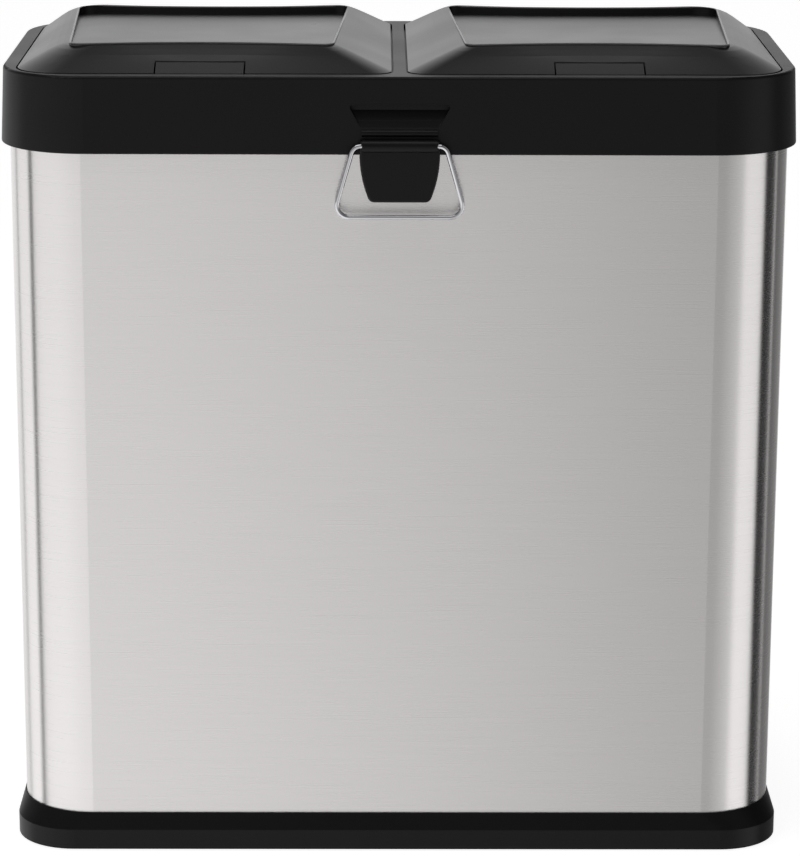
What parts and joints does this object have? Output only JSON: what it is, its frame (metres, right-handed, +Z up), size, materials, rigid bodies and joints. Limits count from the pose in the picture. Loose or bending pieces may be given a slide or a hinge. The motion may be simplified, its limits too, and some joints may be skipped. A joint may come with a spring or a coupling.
{
  "type": "double recycling bin",
  "caption": "Upright double recycling bin: brushed steel body on a black base, black top frame with lids that press open over lift-out buckets, and a wire pull at the front.",
  "frame": {"origin": "centre of the overall footprint, on the floor under the feet", "axes": "+Z up; the front with the wire pull faces -Y; +X is to the right seen from the front"},
  "size_m": [0.59, 0.3204, 0.613],
  "materials": {
    "black_plastic": "satin moulded polypropylene",
    "bucket_plastic": "plain moulded polypropylene",
    "brushed_steel": "brushed stainless sheet, grain running across",
    "bright_wire": "bright bent wire",
    "zinc_steel": "zinc plated steel pins, rivets, screws and springs",
    "rubber": "matte rubber"
  },
  "bodies": {
    "body": {"base_tray": "black_plastic", "rubber_feet": "rubber", "steel_body": "brushed_steel", "body_collar": "black_plastic", "bucket_left": "bucket_plastic", "bucket_right": "bucket_plastic", "hinge_bracket_left": "black_plastic", "hinge_bracket_right": "black_plastic", "bracket_rivets": "zinc_steel", "frame_hinge_pins": "zinc_steel"},
    "top_frame": {"top_frame": "black_plastic", "handle_clip": "black_plastic", "clip_screws": "zinc_steel", "lid_pins_left": "zinc_steel", "lid_pins_right": "zinc_steel", "catch_springs_left": "zinc_steel", "catch_springs_right": "zinc_steel"},
    "lid_left": {"lid_left": "black_plastic"},
    "lid_right": {"lid_right": "black_plastic"},
    "catch_left": {"catch_left": "black_plastic"},
    "catch_right": {"catch_right": "black_plastic"},
    "wire_pull": {"wire_pull": "bright_wire"}
  },
  "joints": [
    {"name": "frame_hinge", "type": "hinge", "parent": "body", "child": "top_frame", "pos_m": [0, 0.1548, 0.533], "axis": [-1, 0, 0], "range_deg": [0, 75]},
    {"name": "lid_left_hinge", "type": "hinge", "parent": "top_frame", "child": "lid_left", "pos_m": [-0.143, 0.1426, 0.5994], "axis": [-1, 0, 0], "range_deg": [0, 85]},
    {"name": "lid_right_hinge", "type": "hinge", "parent": "top_frame", "child": "lid_right", "pos_m": [0.143, 0.1426, 0.5994], "axis": [-1, 0, 0], "range_deg": [0, 85]},
    {"name": "wire_pull_swing", "type": "hinge", "parent": "top_frame", "child": "wire_pull", "pos_m": [0, -0.1556, 0.5456], "axis": [-1, 0, 0], "range_deg": [0, 165]},
    {"name": "catch_left_press", "type": "slide", "parent": "top_frame", "child": "catch_left", "axis": [0, 0, -1], "range_m": [0, 0.0025], "stiffness_N_per_m": 300, "springref_m": -0.004, "deforming": ["catch_springs_left"]},
    {"name": "catch_right_press", "type": "slide", "parent": "top_frame", "child": "catch_right", "axis": [0, 0, -1], "range_m": [0, 0.0025], "stiffness_N_per_m": 300, "springref_m": -0.004, "deforming": ["catch_springs_right"]}
  ]
}
